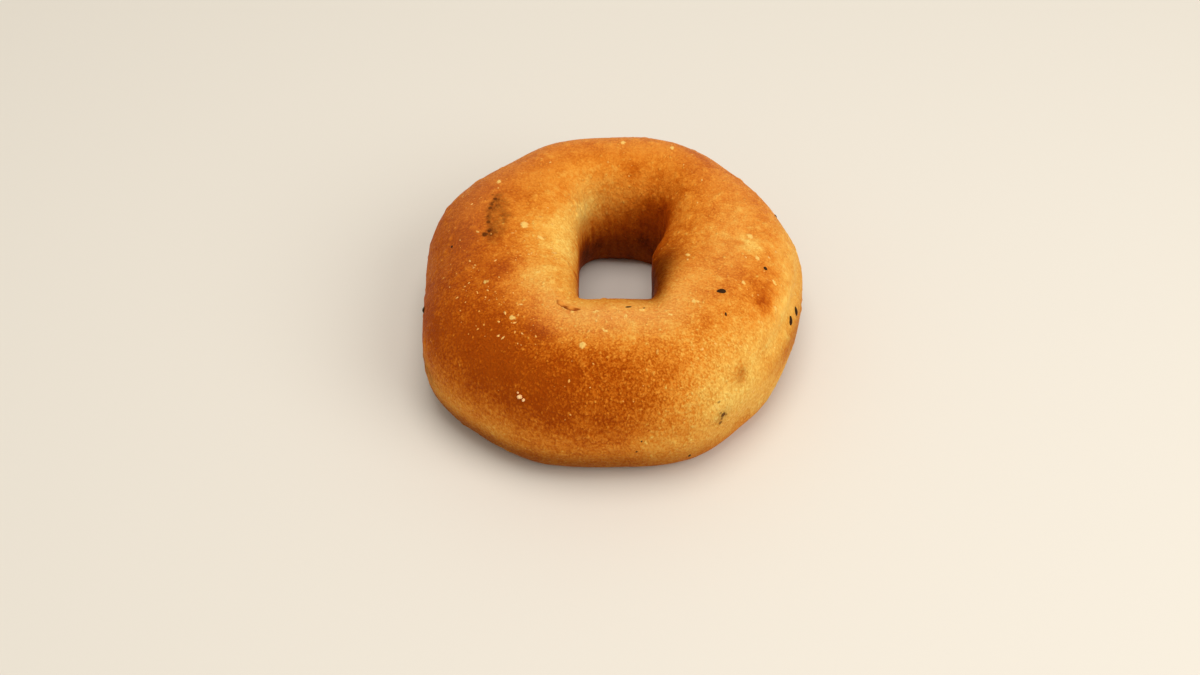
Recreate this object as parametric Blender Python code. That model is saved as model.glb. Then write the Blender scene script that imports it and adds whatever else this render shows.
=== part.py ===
# A wood-fired bagel: one uneven baked ring with a flat base and an off-centre hole,
# with the seeds, blisters, crumbs and the curl of crust that stand on it.
# Metres, +Z up. The ring's thickest side faces -Y.

import math
import random

import bmesh
import bpy
from mathutils import Matrix, Vector

MM = 0.001

# Driving dimensions in millimetres, at bearings spaced evenly round the ring.
# Bearing 0 is +X and 90 is +Y. The reach is the outer radius at the waist.
REACH = (51.3, 53.7, 51.9, 53.5, 51.1, 51.5, 51.2, 52.2, 49.7, 53.6, 53.2, 52.5, 50.7, 52.1, 50.6, 50.1)
HEIGHT = (35.0, 34.9, 35.2, 35.8, 36.1, 37.0, 36.9, 37.4, 38.5, 39.4, 38.3, 36.6)
INNER_FOOT = (1.5, 0.5, 2.4, 5.0, 4.6, 3.6, 3.4, 3.2, 3.0, 3.0, 3.0, 2.6)

# The middle of the reach and of the hole, in millimetres from the middle of the ring's box
RING_MIDDLE = (-1.11, -0.37)
HOLE_MIDDLE = (0.99, 5.73)

# The hole at its narrowest, a rounded rectangle, in millimetres from its middle
HOLE_RIGHT = 8.9
HOLE_RIGHT_FLARE = 7.5   # how much wider the right side gets towards the back
HOLE_LEFT = 10.5
HOLE_FRONT = 21.7
HOLE_BACK = 21.3
HOLE_FRONT_ROUND = 10.0  # 2 is an ellipse, more is squarer
HOLE_BACK_ROUND = 3.5

# Section of the ring. Heights of the waists are parts of the ring's height.
OUTER_WAIST = 0.42
THROAT_WAIST_FRONT = 0.64
THROAT_WAIST_BACK = 0.46
CREST_OUT = 0.2        # the crest's distance outside the middle of the section
OUTER_FOOT = 8.5       # how far the flat base starts inside the reach

# Roundness of the section's four quarters: 2 is an ellipse, more is squarer
TOP_OUTER_ROUND = 2.22
TOP_INNER_ROUND = 2.6
LOW_OUTER_ROUND = 2.21
LOW_INNER_ROUND = 2.13

# Steps of the mesh
BEARING_STEPS = 96
TOP_STEPS = 10
LOW_STEPS = 6

# Lumps and dents of the baked dough: bearing in degrees, place round the section,
# spread along the bearing in degrees, spread round the section, rise in millimetres.
# Round the section, 0 is the outer waist, 1/4 the crest, 1/2 the throat, 3/4 the base.
LUMPS = (
    (343.0, 1.010, 14.0, 0.030, 0.3),    # lip under the right side
    (341.0, 0.066, 17.0, 0.016, -1.1),   # crease above the lip
    (338.0, 0.110, 20.0, 0.030, 0.4),    # pale ridge above the crease
    (38.0, 0.395, 15.0, 0.060, -0.9),    # slack hollow at the right of the hole
    (68.0, 0.345, 14.0, 0.050, -0.5),    # soft dip behind the hole
    (206.0, 1.000, 12.0, 0.070, 0.3),    # swelling of the left front
    (197.0, 1.010, 9.0, 0.060, -1.3),    # flat stretch of the left side
    (20.0, 0.100, 9.0, 0.050, -1.1),     # flat stretch of the right side
    (64.0, 0.178, 7.0, 0.040, -0.4),     # slight flat behind the hole
    (309.0, 0.955, 7.0, 0.040, -1.1),    # undercut at the front right foot
    (322.0, 0.900, 7.0, 0.050, 0.6),     # low bulge beside the undercut
    (3.0, 0.228, 4.0, 0.016, -0.7),      # pucker on the right of the top
    (241.0, 0.215, 7.0, 0.020, -0.35),   # small dip in the front left of the top
)

# Toppings: bearing, place round the section, turn in degrees, length, width and
# thickness in millimetres. A turn of 0 lies along the ring.
SEEDS = (
    (323.0, 0.231, 132.0, 2.7, 1.9, 1.3),
    (349.0, 0.173, 10.0, 1.4, 1.3, 1.3),
    (348.5, 0.047, 45.0, 2.7, 1.5, 1.3),
    (343.0, 0.050, 38.0, 2.7, 1.1, 1.2),
    (193.0, 0.055, 175.0, 2.6, 1.5, 1.5),
    (275.5, 0.312, 12.0, 2.1, 1.0, 1.0),
    (316.0, 0.194, 34.0, 1.6, 1.0, 1.0),
    (293.0, 0.905, 90.0, 1.6, 1.1, 1.1),
    (179.0, 0.153, 20.0, 1.2, 1.0, 0.9),
)
BLISTERS = (
    (174.0, 0.287, 20.0, 3.6, 2.8, 1.0),
    (186.0, 0.322, 60.0, 2.4, 1.8, 0.9),
    (259.0, 0.212, 50.0, 2.4, 2.2, 1.0),
    (230.0, 0.216, 15.0, 2.4, 1.8, 0.9),
    (208.0, 0.227, 70.0, 2.2, 1.6, 0.9),
    (337.0, 0.316, 40.0, 1.8, 1.6, 0.9),
    (308.5, 0.252, 5.0, 2.4, 1.6, 0.9),
    (352.0, 0.195, 30.0, 2.4, 1.8, 0.9),
)
CRUMBS = (
    (244.0, 0.081, 25.0, 1.6, 1.3, 1.2),
)

# Curl of crust that lies across the front left of the hole's rim
CURL_START = (240.5, 0.302)
CURL_END = (253.5, 0.300)
CURL_WIDTH = 1.3
CURL_THICK = 1.2

# Seeds scattered on the sides that face away, from the largest to the smallest
SCATTER_SEED = 11
SCATTER_COUNT = 7
SCATTER_LENGTHS = (2.5, 1.4)

TOPPING_ROUND_STEPS = 5
TOPPING_LENGTH_STEPS = 4
SINK = 0.1             # part of a topping's thickness that its middle lies under the crust

CRUST_COLOUR = (0.62, 0.24, 0.035, 1.0)
SEED_COLOUR = (0.018, 0.014, 0.012, 1.0)
BLISTER_COLOUR = (0.80, 0.50, 0.15, 1.0)
CRUMB_COLOUR = (0.80, 0.66, 0.42, 1.0)
CURL_COLOUR = (0.42, 0.13, 0.035, 1.0)


def remove_all_objects():
    for found in list(bpy.data.objects):
        bpy.data.objects.remove(found, do_unlink=True)


def make_material(name, colour, roughness):
    material = bpy.data.materials.new(name)
    material.use_nodes = True
    shader = material.node_tree.nodes["Principled BSDF"]
    shader.inputs["Base Color"].default_value = colour
    shader.inputs["Roughness"].default_value = roughness
    shader.inputs["Metallic"].default_value = 0.0
    return material


# Smooth closed curve through values that are spaced evenly round the ring
def round_the_ring(values, bearing):
    count = len(values)
    step = 2.0 * math.pi / count
    total = sum(values) / count
    for wave in range(1, count // 2 + 1):
        along = sum(v * math.cos(wave * step * i) for i, v in enumerate(values))
        across = sum(v * math.sin(wave * step * i) for i, v in enumerate(values))
        share = (1.0 if wave == count // 2 else 2.0) / count
        total += share * (along * math.cos(wave * bearing) + across * math.sin(wave * bearing))
    return total


# Quarter of a rounded square: how far out and how far up at an angle from 0 to 90 degrees
def quarter(angle, roundness):
    out = max(math.cos(angle), 0.0) ** (2.0 / roundness)
    up = max(math.sin(angle), 0.0) ** (2.0 / roundness)
    return out, up


# Radius of the hole at its narrowest
def throat_radius(bearing):
    side = math.cos(bearing)
    front = math.sin(bearing)
    flare = HOLE_RIGHT_FLARE * max(front, 0.0) ** 1.5
    width = HOLE_RIGHT + flare if side > 0.0 else HOLE_LEFT
    length = HOLE_BACK if front > 0.0 else HOLE_FRONT
    roundness = HOLE_BACK_ROUND if front > 0.0 else HOLE_FRONT_ROUND
    total = (abs(side) / width) ** roundness + (abs(front) / length) ** roundness
    return total ** (-1.0 / roundness)


# The hole is narrowest high up at the front and sides, and halfway up at the back
def throat_share(bearing):
    share = min(max((1.05 - math.sin(bearing)) / 0.35, 0.0), 1.0)
    share = share * share * (3.0 - 2.0 * share)
    return THROAT_WAIST_BACK + (THROAT_WAIST_FRONT - THROAT_WAIST_BACK) * share


# Distance out from the throat and height of the plain section, in millimetres,
# where the section is wide millimetres across
def section_point(bearing, around, wide):
    height = round_the_ring(HEIGHT, bearing)
    crest = 0.5 * wide + CREST_OUT
    waist = OUTER_WAIST * height
    throat_height = throat_share(bearing) * height
    outer_foot = wide - OUTER_FOOT
    inner_foot = round_the_ring(INNER_FOOT, bearing)
    angle = (around * 4.0 % 1.0) * 0.5 * math.pi
    if around < 0.25:
        out, up = quarter(angle, TOP_OUTER_ROUND)
        return crest + (wide - crest) * out, waist + (height - waist) * up
    if around < 0.5:
        out, up = quarter(0.5 * math.pi - angle, TOP_INNER_ROUND)
        return crest * (1.0 - out), throat_height + (height - throat_height) * up
    if around < 0.75:
        out, up = quarter(angle, LOW_INNER_ROUND)
        return inner_foot * (1.0 - out), throat_height * (1.0 - up)
    out, up = quarter(0.5 * math.pi - angle, LOW_OUTER_ROUND)
    return outer_foot + (wide - outer_foot) * out, waist * (1.0 - up)


# Point of the plain ring. Each section runs from the throat to the reach.
def plain_point(bearing, around):
    heading = Vector((math.cos(bearing), math.sin(bearing)))
    inner = Vector(HOLE_MIDDLE) + heading * throat_radius(bearing)
    outer = Vector(RING_MIDDLE) + heading * round_the_ring(REACH, bearing)
    wide = (outer - inner).length
    out, height = section_point(bearing, around % 1.0, wide)
    spot = inner.lerp(outer, out / wide)
    return Vector((spot.x, spot.y, height))


# Outward direction of the plain ring
def outward(bearing, around):
    along = plain_point(bearing + 0.01, around) - plain_point(bearing - 0.01, around)
    up = plain_point(bearing, around + 0.004) - plain_point(bearing, around - 0.004)
    return along.cross(up).normalized()


# Shortest difference of two places on a loop whose whole length is given
def loop_gap(first, second, whole):
    return (first - second + 0.5 * whole) % whole - 0.5 * whole


def lump_rise(bearing, around):
    total = 0.0
    for lump_bearing, lump_around, wide, tall, rise in LUMPS:
        side = loop_gap(math.degrees(bearing), lump_bearing, 360.0) / wide
        level = loop_gap(around, lump_around, 1.0) / tall
        total += rise * math.exp(-0.5 * (side * side + level * level))
    return total


# Point of the finished crust, in millimetres
def crust_point(bearing, around):
    point = plain_point(bearing, around)
    if point.z <= 0.0:
        return point
    lifted = point + outward(bearing, around) * lump_rise(bearing, around)
    lifted.z = max(lifted.z, 0.0)
    return lifted


# Places round the section of one ring of vertices. The flat base spans the last
# inner place and the first outer one.
def section_places():
    places = [0.25 * i / TOP_STEPS for i in range(2 * TOP_STEPS)]
    places += [0.5 + 0.25 * i / LOW_STEPS for i in range(LOW_STEPS)]
    places += [0.7499999]
    places += [0.75 + 0.25 * i / LOW_STEPS for i in range(LOW_STEPS)]
    return places


# The ring: a round loop of vertices spun about Z, then set on the crust's surface
def make_ring(material):
    bm = bmesh.new()
    layer = bm.verts.layers.float.new("around")
    places = section_places()
    loop = []
    for index, around in enumerate(places):
        angle = 2.0 * math.pi * index / len(places)
        vert = bm.verts.new((33.0 + 10.0 * math.cos(angle), 0.0, 19.0 + 10.0 * math.sin(angle)))
        vert[layer] = around
        loop.append(vert)
    edges = [bm.edges.new((loop[i - 1], loop[i])) for i in range(len(loop))]
    bmesh.ops.spin(
        bm,
        geom=loop + edges,
        cent=(0.0, 0.0, 0.0),
        axis=(0.0, 0.0, 1.0),
        angle=2.0 * math.pi,
        steps=BEARING_STEPS,
        use_merge=True,
    )
    for vert in bm.verts:
        bearing = math.atan2(vert.co.y, vert.co.x)
        vert.co = crust_point(bearing, vert[layer]) * MM
    bmesh.ops.recalc_face_normals(bm, faces=bm.faces)
    bm.verts.layers.float.remove(layer)
    mesh = bpy.data.meshes.new("bagel")
    bm.to_mesh(mesh)
    bm.free()
    mesh.materials.append(material)
    mesh.shade_smooth()
    ring = bpy.data.objects.new("bagel", mesh)
    bpy.context.scene.collection.objects.link(ring)
    return ring


# Frame on the crust: X along the ring turned by an angle, Z outwards
def frame_on_crust(bearing, around, turn, sink):
    here = crust_point(bearing, around)
    ahead = crust_point(bearing + 0.02, around)
    above = crust_point(bearing, around + 0.006)
    out = (ahead - here).cross(above - here).normalized()
    along = (ahead - here).normalized()
    along = Matrix.Rotation(turn, 3, out) @ along
    across = out.cross(along)
    turned = Matrix((along, across, out)).transposed().to_4x4()
    return Matrix.Translation(here - out * sink) @ turned


# One topping: a small flattened ball with few sides, pointed at one end
def make_topping(name, spot, size, taper, material, collection):
    bearing, around, turn = spot
    length, width, thick = size
    bm = bmesh.new()
    bmesh.ops.create_uvsphere(
        bm,
        u_segments=TOPPING_ROUND_STEPS,
        v_segments=TOPPING_LENGTH_STEPS,
        radius=0.5,
    )
    bmesh.ops.rotate(bm, cent=(0, 0, 0), matrix=Matrix.Rotation(0.5 * math.pi, 3, "Y"), verts=bm.verts)
    for vert in bm.verts:
        narrow = 1.0 - taper * (0.5 + vert.co.x)
        vert.co = Vector((vert.co.x * length, vert.co.y * width * narrow, vert.co.z * thick * narrow))
    place = frame_on_crust(math.radians(bearing), around, math.radians(turn), SINK * thick)
    bmesh.ops.transform(bm, matrix=Matrix.Scale(MM, 4) @ place, verts=bm.verts)
    mesh = bpy.data.meshes.new(name)
    bm.to_mesh(mesh)
    bm.free()
    mesh.materials.append(material)
    topping = bpy.data.objects.new(name, mesh)
    collection.objects.link(topping)


# The curl: a bent rod between two places on the crust, pressed in at its ends
def make_curl(material, collection):
    steps = 7
    bm = bmesh.new()
    rings = []
    for index in range(steps):
        share = index / (steps - 1)
        bearing = math.radians(CURL_START[0] + share * (CURL_END[0] - CURL_START[0]))
        around = CURL_START[1] + share * (CURL_END[1] - CURL_START[1])
        swell = 0.45 + 0.55 * math.sin(math.pi * (0.08 + 0.84 * share))
        place = frame_on_crust(bearing, around, 0.0, 0.12)
        ring = []
        for side in range(6):
            angle = 2.0 * math.pi * side / 6
            across = 0.5 * CURL_WIDTH * swell * math.cos(angle)
            out = 0.5 * CURL_THICK * swell * math.sin(angle)
            ring.append(bm.verts.new(place @ Vector((0.0, across, out)) * MM))
        rings.append([bm.edges.new((ring[i - 1], ring[i])) for i in range(6)])
        if index in (0, steps - 1):
            bm.faces.new(ring)
    for first, second in zip(rings, rings[1:]):
        bmesh.ops.bridge_loops(bm, edges=first + second)
    bmesh.ops.recalc_face_normals(bm, faces=bm.faces)
    mesh = bpy.data.meshes.new("crust_curl")
    bm.to_mesh(mesh)
    bm.free()
    mesh.materials.append(material)
    collection.objects.link(bpy.data.objects.new("crust_curl", mesh))


def scattered_seeds():
    draw = random.Random(SCATTER_SEED)
    longest, shortest = SCATTER_LENGTHS
    spots = []
    for index in range(SCATTER_COUNT):
        bearing = 15.0 + 165.0 * (index + draw.uniform(0.2, 0.8)) / SCATTER_COUNT
        around = draw.choice((-0.01, 0.03, 0.07)) + draw.uniform(-0.02, 0.02)
        length = longest + (shortest - longest) * index / (SCATTER_COUNT - 1)
        spots.append((bearing, around, draw.uniform(0.0, 180.0), length, 0.6 * length, 0.5 * length))
    return spots


# One union fuses every topping to the ring, and is applied
def fuse(ring, collection):
    union = ring.modifiers.new("toppings", "BOOLEAN")
    union.operation = "UNION"
    union.operand_type = "COLLECTION"
    union.collection = collection
    union.solver = "EXACT"
    union.material_mode = "TRANSFER"
    bpy.context.view_layer.objects.active = ring
    bpy.ops.object.modifier_apply(modifier=union.name)
    for topping in list(collection.objects):
        bpy.data.objects.remove(topping, do_unlink=True)
    bpy.data.collections.remove(collection)


def build():
    remove_all_objects()
    crust = make_material("baked_crust", CRUST_COLOUR, 0.55)
    seed = make_material("dark_seed", SEED_COLOUR, 0.45)
    blister = make_material("pale_blister", BLISTER_COLOUR, 0.6)
    crumb = make_material("pale_crumb", CRUMB_COLOUR, 0.9)
    curl = make_material("crust_curl", CURL_COLOUR, 0.6)
    ring = make_ring(crust)
    toppings = bpy.data.collections.new("toppings")
    bpy.context.scene.collection.children.link(toppings)
    kinds = (
        ("seed", SEEDS + tuple(scattered_seeds()), 0.35, seed),
        ("blister", BLISTERS, 0.1, blister),
        ("crumb", CRUMBS, 0.2, crumb),
    )
    for kind, rows, taper, material in kinds:
        for number, row in enumerate(rows):
            make_topping(f"{kind}_{number}", row[:3], row[3:], taper, material, toppings)
    make_curl(curl, toppings)
    fuse(ring, toppings)


build()
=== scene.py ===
import math
import random

import bmesh
import bpy
import numpy as np
from mathutils import Matrix, Vector, noise


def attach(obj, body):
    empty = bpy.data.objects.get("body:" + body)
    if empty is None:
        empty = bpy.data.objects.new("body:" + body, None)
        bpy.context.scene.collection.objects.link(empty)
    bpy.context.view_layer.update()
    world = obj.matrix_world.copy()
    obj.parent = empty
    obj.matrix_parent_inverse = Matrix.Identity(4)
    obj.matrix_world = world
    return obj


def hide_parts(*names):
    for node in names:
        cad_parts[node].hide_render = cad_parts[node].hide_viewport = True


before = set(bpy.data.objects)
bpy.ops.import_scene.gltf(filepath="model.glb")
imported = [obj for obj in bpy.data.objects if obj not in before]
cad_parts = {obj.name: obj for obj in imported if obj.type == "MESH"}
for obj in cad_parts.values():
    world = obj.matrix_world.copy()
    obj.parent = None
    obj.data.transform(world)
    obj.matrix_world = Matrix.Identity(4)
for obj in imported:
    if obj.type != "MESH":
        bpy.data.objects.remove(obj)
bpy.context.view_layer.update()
mm = 0.001
print("frame loaded")

# Shape of the ring, in millimetres and degrees. Bearing 0 is +X and 90 is +Y, and a place
# round the section is 0 at the outer waist, 1/4 at the crest, 1/2 at the throat, 3/4 at the base.
ring = {
    # how far the outer waist reaches, every 22.5 degrees
    "reach": (
        51.3, 53.7, 51.9, 53.5, 51.1, 51.5, 51.2, 52.2,
        49.7, 53.6, 53.2, 52.5, 50.7, 52.1, 50.6, 50.1,
    ),
    # height of the crest and how far out the base begins, every 30 degrees
    "height": (35.0, 34.9, 35.2, 35.8, 36.1, 37.0, 36.9, 37.4, 38.5, 39.4, 38.3, 36.6),
    "innerFoot": (1.5, 0.5, 2.4, 5.0, 4.6, 3.6, 3.4, 3.2, 3.0, 3.0, 3.0, 2.6),
    "ringMiddle": (-1.11, -0.37),
    "holeMiddle": (0.99, 5.73),
    "holeRight": 8.9,
    "holeRightFlare": 7.5,
    "flareGrowth": 1.5,         # how late towards the back the flare sets in
    "holeLeft": 10.5,
    "holeFront": 21.7,
    "holeBack": 21.3,
    "holeFrontRound": 10.0,
    "holeBackRound": 3.5,
    "outerWaist": 0.42,         # where the section is widest and narrowest, as shares of the height
    "throatWaistFront": 0.64,
    "throatWaistBack": 0.46,
    "throatBlend": (1.05, 0.35),    # sine of the bearing where the back ends, and how gently
    "crestOut": 0.2,            # how far the crest lies outside the middle of the section
    "outerFoot": 8.5,           # how far the base ends inside the reach
    "topOuterRound": 2.22,
    "topInnerRound": 2.6,
    "lowOuterRound": 2.21,
    "lowInnerRound": 2.13,
    "bearingSteps": 520,
    "directionSteps": (0.01, 0.016),        # small steps that directions are taken over
    "frameStep": 0.02,
    "sectionSteps": (62, 56, 28, 8, 36),    # top outer, top inner, low inner, base, low outer
    "startRadius": 14.0,                    # of the circle that is spun, and where it stands
    "startMiddle": (33.0, 0.0, 19.0),
    # bearing, place, spread in degrees, spread round the section, rise
    "lumps": (
        (343.0, 0.010, 14.0, 0.030, 0.3),    # lip under the right side
        (341.0, 0.066, 17.0, 0.016, -1.1),   # crease above the lip
        (338.0, 0.110, 20.0, 0.030, 0.4),    # pale ridge above the crease
        (38.0, 0.395, 15.0, 0.060, -0.9),    # slack hollow at the right of the hole
        (68.0, 0.345, 14.0, 0.050, -0.5),    # soft dip behind the hole
        (206.0, 0.000, 12.0, 0.070, 0.3),    # swelling of the left front
        (197.0, 0.010, 9.0, 0.060, -1.3),    # flat stretch of the left side
        (20.0, 0.100, 9.0, 0.050, -1.1),     # flat stretch of the right side
        (64.0, 0.178, 7.0, 0.040, -0.4),     # slight flat behind the hole
        (309.0, 0.955, 7.0, 0.040, -1.1),    # undercut at the front right foot
        (322.0, 0.900, 7.0, 0.050, 0.6),     # low bulge beside the undercut
        (3.0, 0.228, 4.0, 0.016, -0.7),      # pucker on the right of the top
        (241.0, 0.215, 7.0, 0.020, -0.35),   # small dip in the front left of the top
    ),
}

# Fine relief of the crust, in millimetres
relief = {
    "swells": ((17.0, 0.30), (6.0, 0.11), (2.4, 0.045)),    # size and height of the dough's unevenness
    # pleats at the rim of the hole: where they begin, are full, begin to fade and end
    "pleatBearings": (62.0, 84.0, 128.0, 158.0),
    "pleatPlaces": (0.31, 0.40, 0.48, 0.56),
    "pleatSpacing": 1.9,
    "pleatRadius": 20.0,                # of the rim that their spacing is measured on
    "pleatWander": (0.8, 5.0),          # how far they wander, and over what size
    "pleatStretch": 9.0,                # how fast they change down the wall
    "pleatDepth": 0.34,
    "pleatRise": (1.6, 0.5),            # how high they stand, and how far they are sunk
    # where the dark wall of the hole begins, every 30 degrees; its darkness is partly browning and partly
    # painted shade of the hole
    "wallStart": (0.395, 0.405, 0.43, 0.492, 0.532, 0.508, 0.48, 0.465, 0.46, 0.42, 0.385, 0.385),
    "wallDrawn": (1.0, 1.0, 0.25),      # scale of its ragged start, which is drawn out along Z
    "wallWander": (0.022, 3.0),         # how far the start wanders, and over what size
    "wallRagged": (0.008, 0.046, 1.2),  # how ragged it is, how much more at the left, over what size
    "wallSoft": (0.050, 0.022),         # how soft it is, and how much less at the left
    "wallLeft": (-0.2, 0.5),            # between which cosines the left side sets in
    "wallEnd": (0.70, 0.76),
    # Shade. The flank has a bearing and a spread, and each has places that it sets in between and
    # an amount. Those of the foot lie below the outer waist.
    "shadedFlank": (312.0, 26.0, 0.29, 0.38, 1.0),
    "deepWall": (0.50, 0.58, 0.45),
    "shadeEnd": (0.72, 0.76),
    "foot": (0.004, 0.095, 0.80),
    "footEnd": (0.20, 0.24),
    "goldenFoot": (320.0, 26.0, 0.80),  # bearing, spread, share taken off the foot's shade
    "lipShade": (343.0, 0.014, 10.0, 0.024, 0.44),      # bearing, place, spreads, amount
    "creaseSize": 3.4,
    "creaseWidth": 0.12,
    "creaseDepth": 0.05,
    # bearing, place, spreads and amount where the crust is creased, and the amount elsewhere
    "creased": (
        (195.0, 0.34, 40.0, 0.045, 1.0),
        (15.0, 0.33, 40.0, 0.050, 1.0),
        (345.0, 0.17, 26.0, 0.060, 1.0),
    ),
    "creasedElsewhere": 0.15,
    "blisterSeed": 5,
    "blisterCount": 900,
    "blisterSections": ((-0.5, 1.0), (-0.2, 1.9)),      # the two stretches that they lie on
    "blisterRadius": (0.5, 1.3),
    "blisterRarity": 2.2,               # how rare the large ones are
    "blisterStretch": (1.0, 1.6),       # length over width
    "blisterHeight": 0.17,
    "blisterVariety": (0.6, 1.4),       # of their heights
    "pitCount": 90,
    "pitSections": (-0.6, 1.6),
    "pitRadius": (0.35, 0.7),
    "pitDepth": 0.16,
    "domeReach": 1.6,                   # in radii, of a blister with its slack edge
    "domeFullness": 1.5,
    "slackEdge": (0.12, 1.15, 0.2),     # depth of the slack edge, its middle and its width
    "nearBase": 3.0,                    # height within which relief fades towards the base
    "baseRelief": 0.25,                 # share of it that is left there
    # bearing, place, turn, half length, half width and height of the pale blisters that show
    "paleBlisters": (
        (174.0, 0.287, 20.0, 1.8, 1.3, 0.40),
        (186.0, 0.322, 60.0, 1.4, 0.8, 0.34),
        (259.0, 0.212, 50.0, 1.2, 1.1, 0.42),
        (230.0, 0.216, 15.0, 1.2, 0.9, 0.34),
        (208.0, 0.227, 70.0, 1.0, 0.8, 0.34),
        (337.0, 0.316, 40.0, 0.9, 0.8, 0.36),
        (308.5, 0.252, 100.0, 1.3, 0.6, 0.34),
        (352.0, 0.195, 30.0, 1.2, 0.8, 0.34),
        (334.8, 0.205, 35.0, 1.1, 0.6, 0.26),
        (345.2, 0.145, 50.0, 1.4, 0.6, 0.24),
        (336.2, 0.119, 60.0, 1.2, 0.6, 0.24),
        (4.7, 0.216, 40.0, 1.5, 0.8, 0.20),
        (218.0, 0.300, 80.0, 1.1, 0.6, 0.24),
        (66.0, 0.235, 95.0, 1.2, 0.7, 0.24),
        (86.0, 0.240, 70.0, 1.2, 0.8, 0.22),
        (145.0, 0.215, 30.0, 1.4, 0.7, 0.24),
        (260.5, 0.292, 25.0, 1.6, 0.5, 0.18),
        (266.0, 0.247, 150.0, 1.3, 0.5, 0.16),
        (274.0, 0.278, 75.0, 1.2, 0.5, 0.18),
        (281.5, 0.300, 10.0, 1.0, 0.5, 0.18),
        (293.3, 0.270, 120.0, 1.1, 0.5, 0.16),
        (307.2, 0.253, 40.0, 1.3, 0.5, 0.18),
        (247.2, 0.252, 165.0, 1.1, 0.5, 0.18),
        (250.2, 0.289, 30.0, 1.0, 0.5, 0.16),
    ),
}

# Shifts that keep the fields of noise apart
shifts = {
    "swells": 31.7,
    "creases": 7.7,
    "pleatWander": 11.3,
    "pleats": 3.1,
    "wallWander": 17.0,
    "wallRagged": 3.0,
    "browning": 5.5,
    "charLoop": 9.0,
    "charLine": 21.0,
}


# Quarter of a rounded square: how far out and how far up at an angle
def quarter(angle, roundness):
    out = np.clip(np.cos(angle), 0.0, 1.0) ** (2.0 / roundness)
    up = np.clip(np.sin(angle), 0.0, 1.0) ** (2.0 / roundness)
    return out, up


# Smooth closed curve through values spaced evenly round the ring
def roundTheRing(values, bearing):
    count = len(values)
    waves = np.fft.rfft(values) / count
    total = np.full(np.shape(bearing), waves[0].real)
    for wave in range(1, count // 2 + 1):
        share = 1.0 if wave == count // 2 else 2.0
        swing = waves[wave].real * np.cos(wave * bearing) - waves[wave].imag * np.sin(wave * bearing)
        total += share * swing
    return total


# Radius of the hole at its narrowest, a rounded rectangle with a wider far right corner
def throatRadius(bearing):
    side, front = np.cos(bearing), np.sin(bearing)
    flare = ring["holeRightFlare"] * np.clip(front, 0.0, 1.0) ** ring["flareGrowth"]
    width = np.where(side > 0.0, ring["holeRight"] + flare, ring["holeLeft"])
    length = np.where(front > 0.0, ring["holeBack"], ring["holeFront"])
    roundness = np.where(front > 0.0, ring["holeBackRound"], ring["holeFrontRound"])
    total = (np.abs(side) / width) ** roundness + (np.abs(front) / length) ** roundness
    return total ** (-1.0 / roundness)


# The hole is narrowest high up at the front and sides, and halfway up at the back
def throatShare(bearing):
    end, gentle = ring["throatBlend"]
    share = smoothStep(0.0, 1.0, (end - np.sin(bearing)) / gentle)
    return ring["throatWaistBack"] + (ring["throatWaistFront"] - ring["throatWaistBack"]) * share


# Plain ring in millimetres. A section runs 0 to 1 up the outer side, 1 to 2 down to the
# throat, 2 to 3 down to the base, 3 to 4 across the base and 4 to 5 up to the outer waist.
def plainRing(bearing, section):
    heading = np.stack((np.cos(bearing), np.sin(bearing)), axis=-1)
    inner = np.array(ring["holeMiddle"]) + heading * throatRadius(bearing)[..., None]
    outer = np.array(ring["ringMiddle"]) + heading * roundTheRing(ring["reach"], bearing)[..., None]
    wide = np.linalg.norm(outer - inner, axis=-1)
    height = roundTheRing(ring["height"], bearing)
    crest = 0.5 * wide + ring["crestOut"]
    waist = ring["outerWaist"] * height
    throatHeight = throatShare(bearing) * height
    outerFoot = wide - ring["outerFoot"]
    innerFoot = roundTheRing(ring["innerFoot"], bearing)
    section = section % 5.0
    part = np.floor(section)
    share = section - part
    angle = share * 0.5 * math.pi
    out, up = quarter(angle, ring["topOuterRound"])
    topOuter = (crest + (wide - crest) * out, waist + (height - waist) * up)
    out, up = quarter(0.5 * math.pi - angle, ring["topInnerRound"])
    topInner = (crest * (1.0 - out), throatHeight + (height - throatHeight) * up)
    out, up = quarter(angle, ring["lowInnerRound"])
    lowInner = (innerFoot * (1.0 - out), throatHeight * (1.0 - up))
    base = (innerFoot + (outerFoot - innerFoot) * share, 0.0 * height)
    out, up = quarter(0.5 * math.pi - angle, ring["lowOuterRound"])
    lowOuter = (outerFoot + (wide - outerFoot) * out, waist * (1.0 - up))
    pieces = (topOuter, topInner, lowInner, base, lowOuter)
    along = np.choose(part.astype(int), [piece[0] for piece in pieces])
    tall = np.choose(part.astype(int), [piece[1] for piece in pieces])
    spot = inner + (outer - inner) * (along / wide)[..., None]
    return np.concatenate((spot, tall[..., None]), axis=-1)


# Directions on the plain ring: along the bearing, up the section and outwards
def directions(bearing, section):
    aside, higher = ring["directionSteps"]
    along = plainRing(bearing + aside, section) - plainRing(bearing - aside, section)
    up = plainRing(bearing, section + higher) - plainRing(bearing, section - higher)
    out = np.cross(along, up)
    along = along / np.linalg.norm(along, axis=-1)[..., None]
    out = out / np.linalg.norm(out, axis=-1)[..., None]
    return along, np.cross(out, along), out


# Place round the section, 0 to 1 as the lumps and patches state it
def placeOf(section):
    section = section % 5.0
    return np.where(section < 3.0, section / 4.0, np.where(section < 4.0, 0.75, (section - 1.0) / 4.0))


def sectionOf(place):
    place = place % 1.0
    return place * 4.0 if place < 0.75 else place * 4.0 + 1.0


# Shortest difference of two places on a loop of the given length
def loopGap(first, second, whole):
    return (first - second + 0.5 * whole) % whole - 0.5 * whole


# Soft round patch on the ring, 1 in its middle
def patch(bearing, place, middleBearing, middlePlace, wide, tall):
    side = loopGap(np.degrees(bearing), middleBearing, 360.0) / wide
    level = loopGap(place, middlePlace, 1.0) / tall
    return np.exp(-0.5 * (side * side + level * level))


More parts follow.
